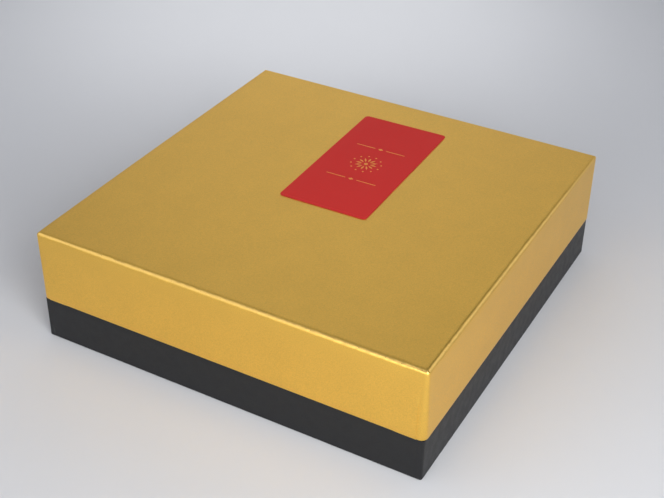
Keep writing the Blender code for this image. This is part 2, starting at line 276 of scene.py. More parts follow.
def rounded_square(half, radius, places):
    """A square face with rounded corners, whose sides are cut at the given places."""
    bm = bmesh.new()
    bmesh.ops.create_grid(bm, x_segments=1, y_segments=1, size=half)
    bmesh.ops.bevel(bm, geom=list(bm.verts), offset=radius, segments=CORNER_SEGMENTS, profile=0.5,
                    affect="VERTICES", material=-1)
    sides = [edge for edge in bm.edges if edge.calc_length() > half]
    bmesh.ops.subdivide_edges(bm, edges=sides, cuts=len(places))
    straight = half - radius - STEP_WIDTH
    for axis in (0, 1):
        for sign in (-1, 1):
            side = [v for v in bm.verts if v.co[1 - axis] * sign > straight and abs(v.co[axis]) < straight]
            for vert, place in zip(sorted(side, key=lambda v: v.co[axis]), places, strict=True):
                vert.co[axis] = place
    return bm


def side_places(straight, step):
    """Where a side of that half length is cut: finely near its corners, twice at the papers' overlap."""
    coarse_end = straight - FINE_STRETCH
    fine = [coarse_end + FINE_SPACING * i for i in range(1, round(FINE_STRETCH / FINE_SPACING))]
    fine = [place for place in fine if abs(place - step) > FINE_SPACING / 2]
    fine = sorted(fine + [step - STEP_WIDTH / 2, step + STEP_WIDTH / 2])
    count = round(2 * coarse_end / COARSE_SPACING)
    coarse = [coarse_end * (2 * i / count - 1) for i in range(count + 1)]
    return [-place for place in reversed(fine)] + coarse + fine


def on_square(reference, half, radius, half0, radius0, kept):
    """Moves a point of the square half0, radius0 to the square half, radius, and keeps places up to kept."""
    straight0, straight = half0 - radius0, half - radius
    moved = []
    for along in reference:
        size = abs(along)
        if size > straight0:
            size = straight + (size - straight0) * radius / radius0
        elif straight < kept:
            size *= straight / straight0
        elif size > kept:
            size = kept + (size - kept) * (straight - kept) / (straight0 - kept)
        moved.append(math.copysign(size, along))
    return moved


def arc(depth, rise, radius, start, end, segments):
    """Stations along an arc of the section round (depth, rise)."""
    made = []
    for i in range(segments + 1):
        facing = math.radians(start + (end - start) * i / segments)
        made.append((depth + radius * math.cos(facing), rise + radius * math.sin(facing), facing))
    return made


def straight_run(depth, start, end, facing):
    """Stations along a straight wall, without its ends."""
    count = max(1, round(abs(end - start) / WALL_SPACING))
    return [(depth, start + (end - start) * i / count, math.radians(facing)) for i in range(1, count)]


def over_lip(outer, inner, rim, radius):
    """Stations over a rim, from the outer face to the inner one."""
    return arc(outer + radius, rim - radius, radius, 180, 90, LIP_SEGMENTS) \
        + arc(inner - radius, rim - radius, radius, 90, 0, LIP_SEGMENTS)


def tray_stations(fold, lip, wall, rim, turn_in):
    """Stations of the paper round a tray: its fold, its wall, its rim and the turn-in."""
    stations = arc(fold, fold, fold, 270, 180, FOLD_SEGMENTS)
    stations += straight_run(0, fold, rim - lip, 180)
    stations += over_lip(0, wall, rim, lip)
    stations += straight_run(wall, rim - lip, rim - turn_in, 0)
    return stations + [(wall, rim - turn_in, 0.0)]


def fold_middle(facing):
    """How far a face that looks in that direction lies in the middle of a fold or lip, fully at its middle:
    there the papers are rubbed, and the gold paper is painted paler as a highlight.
    """
    return abs(math.sin(2 * facing))


def carry_ring(bm, stations, place, relief, rub):
    """Carries the one face's outline through the stations. Relief says how far below them the paper lies."""
    face = bm.faces[:][0]
    ring = [loop.vert for loop in face.loops]
    spots = [vert.co.xy.copy() for vert in ring]
    edges = list(face.edges)
    for i, (depth, rise, facing) in enumerate(stations):
        if i:
            made = bmesh.ops.extrude_edge_only(bm, edges=edges)["geom"]
            fresh = {item for item in made if isinstance(item, bmesh.types.BMVert)}
            edges = [e for e in made if isinstance(e, bmesh.types.BMEdge) and fresh.issuperset(e.verts)]
            ring = [next(e.other_vert(v) for e in v.link_edges if e.other_vert(v) in fresh) for v in ring]
        for vert, spot in zip(ring, spots):
            sunk = relief(spot, Vector(place(spot, depth, rise)), facing)
            vert.co = place(spot, depth - sunk * math.cos(facing), rise - sunk * math.sin(facing))
            # Marks the folds and lips: rubbed on both papers, and painted paler as a highlight on the gold
            # one.
            vert[rub] = fold_middle(facing)
    return face


def cut_panel(bm, face, places, relief):
    """Cuts the panel into a grid at the places where its sides are cut, and lets it follow the relief."""
    outline = set(face.verts)
    parts = [face]
    for normal in (Vector((1, 0, 0)), Vector((0, 1, 0))):
        for place in places:
            geom = parts + list({e for f in parts for e in f.edges})
            geom += list({v for f in parts for v in f.verts})
            cut = bmesh.ops.bisect_plane(bm, geom=geom, dist=STEP_WIDTH / 4, plane_co=normal * place,
                                         plane_no=normal)["geom"]
            parts = [item for item in cut if isinstance(item, bmesh.types.BMFace)]
    facing = math.radians(270)
    for vert in {v for f in parts for v in f.verts} - outline:
        vert.co.z -= relief(vert.co.xy, vert.co, facing)


def new_object(name, bm):
    """Puts the bmesh into the scene as an object."""
    mesh = bpy.data.meshes.new(name)
    bm.to_mesh(mesh)
    bm.free()
    obj = bpy.data.objects.new(name, mesh)
    bpy.context.scene.collection.objects.link(obj)
    return obj


def finished(name, bm, material, body, smooth_below=40):
    """The object of a bmesh, with its finish, riding on its body. Free edges and sharp bends stay crisp."""
    for face in bm.faces:
        face.smooth = True
    for edge in bm.edges:
        edge.smooth = edge.is_manifold and edge.calc_face_angle() < math.radians(smooth_below)
    obj = new_object(name, bm)
    obj.data.materials.append(material)
    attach(obj, body)
    return obj


def thicken(obj, thickness):
    """Gives a skin its paper's thickness, below the face that shows."""
    solid = obj.modifiers.new("paper_thickness", "SOLIDIFY")
    solid.thickness = thickness
    solid.offset = -1
    return obj


def uneven(spot, spacing, seed):
    """Smooth unevenness from 0 to 1 with features about that far apart."""
    return 0.5 + 0.5 * noise.noise(Vector(spot) / spacing + Vector((seed, seed / 3, seed / 7)))


def ramp(value, start, end):
    """0 before start, 1 past end, and a smooth step between."""
    share = min(1.0, max(0.0, (value - start) / (end - start)))
    return share * share * (3 - 2 * share)


def corner_share(spot, straight):
    """1 on the front and rear sides, 0 on the left and right ones, and between on the corners."""
    across, along = abs(spot[0]) - straight, abs(spot[1]) - straight
    if across <= 0:
        return 1.0 if along > 0 else 0.0
    return 0.0 if along <= 0 else math.atan2(along, across) / (math.pi / 2)


def overlap_relief(spot, half, straight, step, thickness, tab):
    """How deep the papers lie near a corner, where the front and rear flaps cover the side papers' tabs.

    A strip of the side paper shows between the flap's cut edge and the corner, and the flap is raised over
    the tab under it.
    """
    share = corner_share(spot, straight)
    from_corner = half - abs(spot[0])
    strip = 1 - ramp(from_corner, half - step - STEP_WIDTH / 2, half - step + STEP_WIDTH / 2)
    past_tab = ramp(from_corner, tab, tab + tab / 3)
    return thickness * share * max(strip, TAB_STEP * past_tab)


def gold_paper(colour):
    """Metallised paper with gold lacquer, matt laminated: a metal's colour, broken up by a fine bright grain.

    Its real grain is about 0.05 mm, drawn coarser here so that it shows. Along the folds the colour is
    painted paler, a painted highlight; the lacquer there is also a little polished, and the paper is dented.
    """
    material, tree, place = begin("gold_lacquered_metallised_paper", {"Metallic": 1.0})
    grain = add(tree, "TexNoise", {"Vector": place, "Scale": repeats(0.55), "Detail": 3.0, "Roughness": 0.65})
    cloud = add(tree, "TexNoise", {"Vector": place, "Scale": repeats(14), "Detail": 2.0})
    dents = add(tree, "TexNoise", {"Vector": place, "Scale": repeats(1.9), "Detail": 1.0})
    rub = add(tree, "Attribute", attribute_name="rub", attribute_type="GEOMETRY").outputs["Fac"]
    speckle = add(tree, "MapRange", {"Value": grain, "From Min": 0.3, "From Max": 0.7})
    lacquer = add(tree, "Mix", {0: speckle, 6: opaque(colour, 0.90), 7: opaque(colour, 1.08)},
                  data_type="RGBA")
    drift = add(tree, "MapRange", {"Value": cloud, "From Min": 0.35, "From Max": 0.65,
                                   "To Min": 0.985, "To Max": 1.01})
    tinted = add(tree, "VectorMath", {0: lacquer, "Scale": drift}, operation="SCALE")
    # Painted highlight: the middles of the folds and lips are painted a paler gold, standing in for the
    # bright pale light along them.
    painted_highlight_share = add(tree, "MapRange", {"Value": rub, "From Min": 0.5, "From Max": 1.0})
    lacquer_and_painted_highlight = add(tree, "Mix", {0: painted_highlight_share, 6: tinted, 7: opaque(colour, 0.94, 0.0564)}, data_type="RGBA")
    matt = add(tree, "MapRange", {"Value": grain, "From Min": 0.3, "From Max": 0.7,
                                  "To Min": 0.36, "To Max": 0.44})
    polished = add(tree, "Math", {0: rub, 1: -0.10, 2: matt}, operation="MULTIPLY_ADD")
    dented = add(tree, "Bump", {"Height": dents, "Strength": rub, "Distance": 0.00028})
    bump = add(tree, "Bump", {"Height": grain, "Strength": 0.25, "Distance": 0.00004, "Normal": dented})
    feed(tree, colour=lacquer_and_painted_highlight, roughness=polished, normal=bump)
    return material


def black_paper(colour):
    """Dyed uncoated wrap paper: matt, with short felted fibres a little lighter than the dye.

    Its fibres are drawn coarser than the real ones, so that they show. Folds and lips are worn greyer.
    """
    material, tree, place = begin("black_dyed_uncoated_paper", {"Specular IOR Level": 0.38})
    fibre = add(tree, "TexNoise", {"Vector": place, "Scale": repeats(0.6), "Detail": 4.0, "Roughness": 0.7})
    cloud = add(tree, "TexNoise", {"Vector": place, "Scale": repeats(5), "Detail": 3.0})
    rub = add(tree, "Attribute", attribute_name="rub", attribute_type="GEOMETRY").outputs["Fac"]
    fleck = add(tree, "MapRange", {"Value": fibre, "From Min": 0.40, "From Max": 0.72})
    felt = add(tree, "Mix", {0: fleck, 6: opaque(colour), 7: opaque(colour, 1.9, 0.002)},
               data_type="RGBA")
    worn = add(tree, "Math", {0: rub, 1: cloud}, operation="MULTIPLY")
    edge = add(tree, "Mix", {0: worn, 6: felt, 7: opaque(colour, 1.5, 0.002)}, data_type="RGBA")
    dull = add(tree, "MapRange", {"Value": cloud, "From Min": 0.35, "From Max": 0.65,
                                  "To Min": 0.44, "To Max": 0.52})
    bump = add(tree, "Bump", {"Height": fibre, "Strength": 0.4, "Distance": 0.00008})
    feed(tree, colour=edge, roughness=dull, normal=bump)
    return material


def red_label_stock(colour):
    """Label paper printed solid red and matt varnished: a deep even colour with the ink's faint mottle."""
    material, tree, place = begin("red_matt_varnished_label_paper", {"Specular IOR Level": 0.2})
    mottle = add(tree, "TexNoise", {"Vector": place, "Scale": repeats(1.1), "Detail": 3.0})
    ink = add(tree, "Mix", {0: mottle, 6: opaque(colour, 0.92), 7: opaque(colour, 1.06)},
              data_type="RGBA")
    satin = add(tree, "MapRange", {"Value": mottle, "To Min": 0.50, "To Max": 0.62})
    bump = add(tree, "Bump", {"Height": mottle, "Strength": 0.15, "Distance": 0.00003})
    feed(tree, colour=ink, roughness=satin, normal=bump)
    return material


def stamped_foil(colour):
    """Matt orange-gold stamping foil: pigment with a metal's sparkle, which took up the label's surface."""
    material, tree, place = begin("matt_gold_stamping_foil", {"Metallic": 0.35})
    press = add(tree, "TexNoise", {"Vector": place, "Scale": repeats(0.4), "Detail": 2.0})
    shade = add(tree, "Mix", {0: press, 6: opaque(colour, 0.9), 7: opaque(colour)}, data_type="RGBA")
    gloss = add(tree, "MapRange", {"Value": press, "To Min": 0.34, "To Max": 0.46})
    bump = add(tree, "Bump", {"Height": press, "Strength": 0.2, "Distance": 0.00002})
    feed(tree, colour=shade, roughness=gloss, normal=bump)
    return material


def grey_chipboard():
    """Chipboard pressed from waste paper: a dull warm grey, flecked with dark and pale scraps of fibre."""
    material, tree, place = begin("grey_pressed_chipboard", {"Specular IOR Level": 0.3})
    pulp = add(tree, "TexNoise", {"Vector": place, "Scale": repeats(4), "Detail": 5.0, "Roughness": 0.65})
    grey = add(tree, "ValToRGB", {0: pulp})
    for element, position, code in zip(grey.color_ramp.elements, (0.30, 0.70), ("847B6D", "A69C8B")):
        element.position = position
        element.color = opaque(linear(code))
    scraps = add(tree, "TexNoise", {"Vector": place, "Scale": repeats(0.9), "Detail": 2.0})
    dark = add(tree, "MapRange", {"Value": scraps, "From Min": 0.63, "From Max": 0.69})
    pale = add(tree, "MapRange", {"Value": scraps, "From Min": 0.36, "From Max": 0.30})
    flecked = add(tree, "Mix", {0: dark, 6: grey, 7: opaque(linear("544C43"))}, data_type="RGBA")
    mixed = add(tree, "Mix", {0: pale, 6: flecked, 7: opaque(linear("CFC8B8"))}, data_type="RGBA")
    dull = add(tree, "MapRange", {"Value": pulp, "To Min": 0.82, "To Max": 0.95})
    bump = add(tree, "Bump", {"Height": scraps, "Strength": 0.4, "Distance": 0.0001})
    feed(tree, colour=mixed, roughness=dull, normal=bump)
    return material


def kraft_tape():
    """Gummed kraft tape: brown unbleached paper whose long fibres lie mostly along the roll."""
    material, tree, place = begin("brown_gummed_kraft_paper")
    along = add(tree, "Mapping", {"Vector": place, "Scale": (1.0, 1.0, 0.2)})
    fibre = add(tree, "TexNoise", {"Vector": along, "Scale": repeats(0.7), "Detail": 4.0,
                                   "Roughness": 0.7})
    brown = add(tree, "Mix", {0: fibre, 6: opaque(linear("9C6A3C")),
                              7: opaque(linear("C99A66"))}, data_type="RGBA")
    glaze = add(tree, "MapRange", {"Value": fibre, "To Min": 0.48, "To Max": 0.70})
    bump = add(tree, "Bump", {"Height": fibre, "Strength": 0.3, "Distance": 0.00006})
    feed(tree, colour=brown, roughness=glaze, normal=bump)
    return material


def liner_paper():
    """Uncoated white lining paper: cloudy where its fibres settled unevenly, with a faint felt mark."""
    material, tree, place = begin("white_uncoated_lining_paper", {"Specular IOR Level": 0.35})
    formation = add(tree, "TexNoise", {"Vector": place, "Scale": repeats(3.5), "Detail": 4.0})
    felt = add(tree, "TexNoise", {"Vector": place, "Scale": repeats(0.5), "Detail": 3.0, "Roughness": 0.7})
    cloudy = add(tree, "MapRange", {"Value": formation, "From Min": 0.35, "From Max": 0.65})
    white = add(tree, "Mix", {0: cloudy, 6: opaque(linear("E4DFD3")),
                              7: opaque(linear("F2EFE7"))}, data_type="RGBA")
    dull = add(tree, "MapRange", {"Value": felt, "To Min": 0.72, "To Max": 0.86})
    bump = add(tree, "Bump", {"Height": felt, "Strength": 0.25, "Distance": 0.00006})
    feed(tree, colour=white, roughness=dull, normal=bump)
    return material


def ivory_card():
    """Clay-coated ivory board: smooth and a little silky, with the streaks of the coating blade along it.

    Its cut edges, which face up in the grid, show the duller pulp in the middle of the board.
    """
    material, tree, place = begin("ivory_coated_folding_board")
    streaks = add(tree, "Mapping", {"Vector": place, "Scale": (0.15, 0.15, 1.0)})
    coating = add(tree, "TexNoise", {"Vector": streaks, "Scale": repeats(1.2), "Detail": 3.0})
    pulp = add(tree, "TexNoise", {"Vector": place, "Scale": repeats(0.4), "Detail": 4.0, "Roughness": 0.7})
    smooth = add(tree, "Mix", {0: coating, 6: opaque(linear("EBE0C6")),
                               7: opaque(linear("F5ECD6"))}, data_type="RGBA")
    core = add(tree, "Mix", {0: pulp, 6: opaque(linear("C9B997")),
                             7: opaque(linear("E6DBC0"))}, data_type="RGBA")
    facing = add(tree, "NewGeometry").outputs["True Normal"]
    upward = add(tree, "SeparateXYZ", {0: facing})
    cut = add(tree, "MapRange", {"Value": upward.outputs["Z"], "From Min": 0.7, "From Max": 0.9})
    board = add(tree, "Mix", {0: cut, 6: smooth, 7: core}, data_type="RGBA")
    silk = add(tree, "MapRange", {"Value": coating, "To Min": 0.40, "To Max": 0.52})
    dull = add(tree, "Mix", {0: cut, 2: silk, 3: 0.85})
    bump = add(tree, "Bump", {"Height": pulp, "Strength": 0.12, "Distance": 0.00004})
    feed(tree, colour=board, roughness=dull, normal=bump)
    return material


def crepe_wadding(colour):
    """Soft crepe paper over wadding: fine crinkles across the roll, flattened and glazed where pressed.

    Its real crinkles are about 0.4 mm apart, drawn coarser here so that they show.
    """
    material, tree, place = begin("white_embossed_crepe_wadding", {"Sheen Weight": 0.25,
                                                                   "Sheen Roughness": 0.5})
    across = add(tree, "Mapping", {"Vector": place, "Scale": (1.0, 0.25, 1.0)})
    crinkle = add(tree, "TexNoise", {"Vector": across, "Scale": repeats(0.8), "Detail": 3.0,
                                     "Roughness": 0.6})
    ply = add(tree, "TexNoise", {"Vector": place, "Scale": repeats(6), "Detail": 3.0})
    pressed = add(tree, "Attribute", attribute_name="pressed", attribute_type="GEOMETRY").outputs["Fac"]
    soft = add(tree, "Mix", {0: ply, 6: opaque(colour, 0.90), 7: opaque(colour)}, data_type="RGBA")
    quilted = add(tree, "Mix", {0: pressed, 6: soft, 7: opaque(colour, 0.82)}, data_type="RGBA")
    dull = add(tree, "MapRange", {"Value": pressed, "To Min": 0.92, "To Max": 0.62})
    loose = add(tree, "MapRange", {"Value": pressed, "To Min": 0.55, "To Max": 0.15})
    bump = add(tree, "Bump", {"Height": crinkle, "Strength": loose, "Distance": 0.00025})
    feed(tree, colour=quilted, roughness=dull, normal=bump)
    return material


class GIFTBOX_OT_lid_paper(bpy.types.Operator):
    """Makes the gold paper over the lid"""

    bl_idname = "giftbox.lid_paper"
    bl_label = "Lid paper"

    OVERLAP_FROM_CORNER = 0.0037
    TAB = 0.012
    STEP = 0.00018
    WAVE = 0.00002
    WAVE_SPACING = 0.045
    FOLD_WAVE = 0.00022
    FOLD_WAVE_SPACING = 0.007
    TIGHTENING = 0.72
    TIGHTENING_SKEW = 0.7
    TIGHTENING_RANGE = (-0.9, 0.7)
    CREASE = 0.00009
    CREASE_FACING = math.radians(226)
    CREASE_WIDTH = math.radians(8)
    CREASE_PATCHES = 0.02
    CREASE_START = 0.006
    CREASE_REACH = 0.024
    STEP_FADE = (0.012, 0.020)

    def execute(self, context):
        settings = context.scene.gift_box_lid
        low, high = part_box("lid_wrap")
        height = high.z - low.z
        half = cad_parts["lid_wrap"].dimensions.x / 2 - settings.flare
        step = half - self.OVERLAP_FROM_CORNER
        straight = half - settings.top_corner
        places = side_places(straight, step)

        def tightness(spot):
            """1 along the front, and less towards the back, where the paper was pulled tighter."""
            back = (spot[1] - self.TIGHTENING_SKEW * spot[0]) / half
            return 1 - self.TIGHTENING * ramp(back, *self.TIGHTENING_RANGE)

        def place(spot, depth, rise):
            if rise < settings.fold and depth <= settings.fold:
                depth *= tightness(spot)
                rise *= tightness(spot)
            share = rise / height
            corner = settings.top_corner * tightness(spot)
            radius = corner + (settings.rim_corner - corner) * share - depth
            width = half - depth + settings.flare * share
            x, y = on_square(spot, width, max(radius, STEP_WIDTH), half, settings.top_corner,
                             step - STEP_WIDTH)
            return x, y, high.z - rise

        def relief(spot, point, facing):
            sunk = self.WAVE * uneven(point, self.WAVE_SPACING, 1)
            fold = fold_middle(facing) if facing > math.pi else 0.0
            sunk += self.FOLD_WAVE * fold * uneven(point, self.FOLD_WAVE_SPACING, 5)
            from_corner = half - min(abs(spot[0]), abs(spot[1]))
            near = 1 - ramp(from_corner, self.CREASE_START, self.CREASE_REACH)
            groove = math.exp(-((facing - self.CREASE_FACING) / self.CREASE_WIDTH) ** 2)
            sunk += self.CREASE * groove * near * (0.5 + 0.5 * uneven(point, self.CREASE_PATCHES, 9))
            overlap = overlap_relief(spot, half, straight, step, self.STEP, self.TAB)
            return sunk + overlap * ramp(high.z - point.z, *self.STEP_FADE)

        bm = rounded_square(half, settings.top_corner, places)
        rub = bm.verts.layers.float.new("rub")
        stations = tray_stations(settings.fold, settings.lip, settings.wall, height, settings.turn_in)
        face = carry_ring(bm, stations, place, relief, rub)
        cut_panel(bm, face, places, relief)
        paper = finished("lid_gold_paper", bm, gold_paper(settings.colour), "lid")
        thicken(paper, settings.paper)
        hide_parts("lid_wrap")
        return {"FINISHED"}


class GIFTBOX_OT_base_paper(bpy.types.Operator):
    """Makes the black paper round the base and over its neck"""

    bl_idname = "giftbox.base_paper"
    bl_label = "Base and neck paper"

    OVERLAP_FROM_CORNER = 0.0030
    TAB = 0.012
    STEP = 0.00010
    LINER_GAP = 0.001
    WAVE = 0.00006
    WAVE_SPACING = 0.035

    def execute(self, context):
        settings = context.scene.gift_box_base
        finish = black_paper(settings.colour)
        self.base(settings, finish)
        self.neck(settings, finish)
        return {"FINISHED"}

    def base(self, settings, finish):
        low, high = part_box("base_wrap")
        half = high.x
        step = half - self.OVERLAP_FROM_CORNER
        straight = half - settings.corner

        def place(spot, depth, rise):
            radius = max(settings.corner - depth, STEP_WIDTH)
            x, y = on_square(spot, half - depth, radius, half, settings.corner, step - STEP_WIDTH)
            return x, y, low.z + rise

        def relief(spot, point, facing):
            sunk = self.WAVE * uneven(point, self.WAVE_SPACING, 3) * (facing != math.radians(270))
            overlap = overlap_relief(spot, half, straight, step, self.STEP, self.TAB)
            return sunk + overlap * ramp(point.z - low.z, settings.fold, 2 * settings.fold)

        bm = rounded_square(half, settings.corner, side_places(straight, step))
        rub = bm.verts.layers.float.new("rub")
        under = [(settings.turn_under, 0.0, math.radians(270))]
        rim = high.z - low.z
        stations = tray_stations(settings.fold, settings.lip, settings.wall, rim, settings.turn_in)
        face = carry_ring(bm, under + stations, place, relief, rub)
        bmesh.ops.delete(bm, geom=[face], context="FACES_ONLY")
        bmesh.ops.reverse_faces(bm, faces=list(bm.faces))
        paper = finished("base_black_paper", bm, finish, "base")
        thicken(paper, settings.paper)
        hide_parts("base_wrap")

    def neck(self, settings, finish):
        low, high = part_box("neck_cover")
        half = high.x
        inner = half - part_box("base_floor_liner")[1].x - self.LINER_GAP
        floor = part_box("base_floor_liner")[1].z + self.LINER_GAP
        step = half - self.TAB
        straight = half - settings.neck_corner

        def place(spot, depth, height):
            radius = max(settings.neck_corner - depth, STEP_WIDTH)
            x, y = on_square(spot, half - depth, radius, half, settings.neck_corner, step - STEP_WIDTH)
            return x, y, height

        def relief(spot, point, facing):
            return self.WAVE * uneven(point, self.WAVE_SPACING, 7) / 2

        bm = rounded_square(half, settings.neck_corner, side_places(straight, step))
        rub = bm.verts.layers.float.new("rub")
        stations = [(0.0, low.z, math.pi)]
        stations += straight_run(0, low.z, high.z - settings.lip, 180)
        stations += over_lip(0, inner, high.z, settings.lip)
        stations += straight_run(inner, high.z - settings.lip, floor, 0) + [(inner, floor, 0.0)]
        face = carry_ring(bm, stations, place, relief, rub)
        bmesh.ops.delete(bm, geom=[face], context="FACES_ONLY")
        bmesh.ops.reverse_faces(bm, faces=list(bm.faces))
        paper = finished("neck_black_paper", bm, finish, "base")
        thicken(paper, settings.paper)
        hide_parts("neck_cover")


class GIFTBOX_OT_label(bpy.types.Operator):
    """Makes the label on the lid and the foil ornament on it"""

    bl_idname = "giftbox.label"
    bl_label = "Label"

    SOFT_EDGE = 0.00008
    EDGE_DROP = 0.00006
    PETALS = 12
    PETAL = (0.0020, 0.00055)
    PETAL_PLACE = 0.0042
    DOT = 0.00050
    DOT_PLACE = 0.0082
    EYE = 0.0011
    ROW_PLACE = 0.0175
    ROW_LOZENGE = (0.0015, 0.0010)
    RULE = 0.0110
    RULE_PLACE = 0.0088

    def execute(self, context):
        settings = context.scene.gift_box_label
        low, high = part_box("lid_label")
        middle = (low + high) / 2
        turn = Matrix.Rotation(settings.turn, 4, "Z")
        top = high.z - settings.foil
        seat = Matrix.Translation((middle.x, middle.y, top)) @ turn

        bm = bmesh.new()
        bmesh.ops.create_grid(bm, x_segments=1, y_segments=1, size=0.5)
        bmesh.ops.scale(bm, vec=(settings.width, settings.length, 1), verts=bm.verts)
        bmesh.ops.bevel(bm, geom=list(bm.verts), offset=settings.corner, segments=CORNER_SEGMENTS,
                        profile=0.5, affect="VERTICES", material=-1)
        outline = list(bm.verts)
        bmesh.ops.inset_region(bm, faces=list(bm.faces), thickness=self.SOFT_EDGE, use_boundary=True,
                               use_even_offset=True)
        bmesh.ops.translate(bm, vec=(0, 0, -self.EDGE_DROP), verts=outline)
        bmesh.ops.transform(bm, matrix=seat, verts=bm.verts)
        label = finished("lid_red_label", bm, red_label_stock(settings.colour), "lid",
                         smooth_below=20)
        thicken(label, top - low.z - self.EDGE_DROP)
        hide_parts("lid_label")

        bm = bmesh.new()
        self.ornament(bm, settings)
        bmesh.ops.translate(bm, vec=(0, 0, settings.foil), verts=bm.verts)
        bmesh.ops.transform(bm, matrix=seat, verts=bm.verts)
        foil = finished("label_foil_ornament", bm, stamped_foil(settings.foil_colour), "lid",
                        smooth_below=20)
        thicken(foil, settings.foil)
        return {"FINISHED"}

    def ornament(self, bm, settings):
        """A rosette of petals in a ring of dots, between two pairs of rules with a lozenge in their gap."""
        for i in range(self.PETALS):
            turn = Matrix.Rotation(math.tau * i / self.PETALS, 4, "Z")
            self.lozenge(bm, turn @ Matrix.Translation((self.PETAL_PLACE, 0, 0)), *self.PETAL)
            between = Matrix.Rotation(math.tau * (i + 0.5) / self.PETALS, 4, "Z")
            self.dot(bm, between @ Matrix.Translation((self.DOT_PLACE, 0, 0)), self.DOT)
        self.dot(bm, Matrix.Identity(4), self.EYE)
        for sign in (-1, 1):
            row = Matrix.Translation((0, sign * self.ROW_PLACE, 0))
            self.lozenge(bm, row, *self.ROW_LOZENGE)
            for side in (-1, 1):
                self.rule(bm, row @ Matrix.Translation((side * self.RULE_PLACE, 0, 0)), settings.stroke)

    def dot(self, bm, spot, radius):
        bmesh.ops.create_circle(bm, cap_ends=True, segments=16, radius=radius, matrix=spot)

    def lozenge(self, bm, spot, half_length, half_width):
        shape = Matrix.Diagonal((half_length, half_width, 1, 1))
        bmesh.ops.create_circle(bm, cap_ends=True, segments=4, radius=1, matrix=spot @ shape)

    def rule(self, bm, spot, width):
        shape = Matrix.Diagonal((self.RULE, width, 1, 1))
        bmesh.ops.create_grid(bm, x_segments=1, y_segments=1, size=0.5, matrix=spot @ shape)


class GIFTBOX_OT_boards(bpy.types.Operator):
    """Gives the boards, tapes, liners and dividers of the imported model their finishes"""

    bl_idname = "giftbox.boards"
    bl_label = "Boards, tapes, liners and dividers"

    FINISHES = (
        (grey_chipboard, ("base_board", "neck_board", "lid_board")),
        (kraft_tape, ("neck_seam_tape", "base_corner_stay", "lid_corner_stay")),
        (liner_paper, ("base_floor_liner", "lid_liner")),
        (ivory_card, ("divider_across", "divider_deep")),
    )

    def execute(self, context):
        for make, names in self.FINISHES:
            self.dress(make(), names)
        self.dress(black_paper(context.scene.gift_box_base.colour), ("base_underside_sheet",))
        return {"FINISHED"}

    def dress(self, material, names):
        """Gives the material to each node whose name starts with one of those names."""
        for name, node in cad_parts.items():
            if name.startswith(names):
                node.material_slots[0].material = material


class GIFTBOX_OT_pad(bpy.types.Operator):
    """Makes the quilted cushion pad over the dividers"""

    bl_idname = "giftbox.pad"
    bl_label = "Cushion pad"

    CELLS = 8
    PRESSURE = 4.0
    FRAMES = 20
    PUFF = 0.62

    def execute(self, context):
        settings = context.scene.gift_box_pad
        low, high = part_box("cushion_pad")
        half = high.x
        count = round(2 * half / settings.diamond)
        sheet = self.top_sheet(settings, half, low.z, count * self.CELLS)
        self.puff_up(context, sheet)
        pad = self.close(settings, sheet, low, high)
        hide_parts("cushion_pad")
        return {"FINISHED"}

    def top_sheet(self, settings, half, foot, cells):
        """The upper ply, flat, with its pressed lines and border held."""
        bm = bmesh.new()
        bmesh.ops.create_grid(bm, x_segments=cells, y_segments=cells, size=half)
        bmesh.ops.translate(bm, vec=(0, 0, foot + settings.pressed), verts=bm.verts)
        pressed = bm.verts.layers.float.new("pressed")
        held = bm.verts.layers.deform.verify()
        spacing = 2 * half / cells
        for vert in bm.verts:
            column = round((vert.co.x + half) / spacing)
            row = round((vert.co.y + half) / spacing)
            on_line = (column + row) % self.CELLS == 0 or (column - row) % self.CELLS == 0
            in_border = half - max(abs(vert.co.x), abs(vert.co.y)) < settings.border
            vert[pressed] = float(on_line or in_border)
            vert[held][0] = vert[pressed]
        sheet = new_object("pad_top_sheet", bm)
        sheet.vertex_groups.new(name="held")
        return sheet

    def puff_up(self, context, sheet):
        """Blows the sheet up between its held lines, and keeps the result."""
        cloth = sheet.modifiers.new("cloth", "CLOTH")
        cloth.settings.vertex_group_mass = "held"
        cloth.settings.use_pressure = True
        cloth.settings.uniform_pressure_force = self.PRESSURE
        cloth.settings.effector_weights.gravity = 0
        cloth.settings.shrink_min = -0.08
        cloth.settings.tension_stiffness = 8
        cloth.settings.compression_stiffness = 8
        cloth.settings.bending_stiffness = 0.05
        cloth.settings.mass = 0.05
        scene = context.scene
        for step in range(1, self.FRAMES + 1):
            scene.frame_set(step)
        blown = sheet.evaluated_get(context.evaluated_depsgraph_get())
        mesh = bpy.data.meshes.new_from_object(blown)
        sheet.modifiers.clear()
        sheet.data = mesh
        scene.frame_set(1)

    def close(self, settings, sheet, low, high):
        """Closes the blown sheet with its cut edge and its flat under ply."""
        bm = bmesh.new()
        bm.from_mesh(sheet.data)
        bpy.data.objects.remove(sheet)
        ply = low.z + settings.pressed
        puff = high.z - ply
        for vert in bm.verts:
            vert.co.z = ply + puff * (1 - math.exp(-max(0.0, vert.co.z - ply) / (puff * self.PUFF)))
        bmesh.ops.subdivide_edges(bm, edges=list(bm.edges), cuts=1, use_grid_fill=True, smooth=1.0)
        half = high.x
        for vert in bm.verts:
            x, y = vert.co.x / half, vert.co.y / half
            vert.co.x -= settings.pull_in * x ** 5 * (1 - y * y)
            vert.co.y -= settings.pull_in * y ** 5 * (1 - x * x)
            vert.co.z = min(vert.co.z, high.z)
        rim = [edge for edge in bm.edges if edge.is_boundary]
        made = bmesh.ops.extrude_edge_only(bm, edges=rim)["geom"]
        foot = [item for item in made if isinstance(item, bmesh.types.BMVert)]
        for vert in foot:
            vert.co.z = low.z
        last = [item for item in made if isinstance(item, bmesh.types.BMEdge)]
        bmesh.ops.contextual_create(bm, geom=last)
        bmesh.ops.recalc_face_normals(bm, faces=list(bm.faces))
        return finished("quilted_cushion_pad", bm, crepe_wadding(settings.colour), "pad")


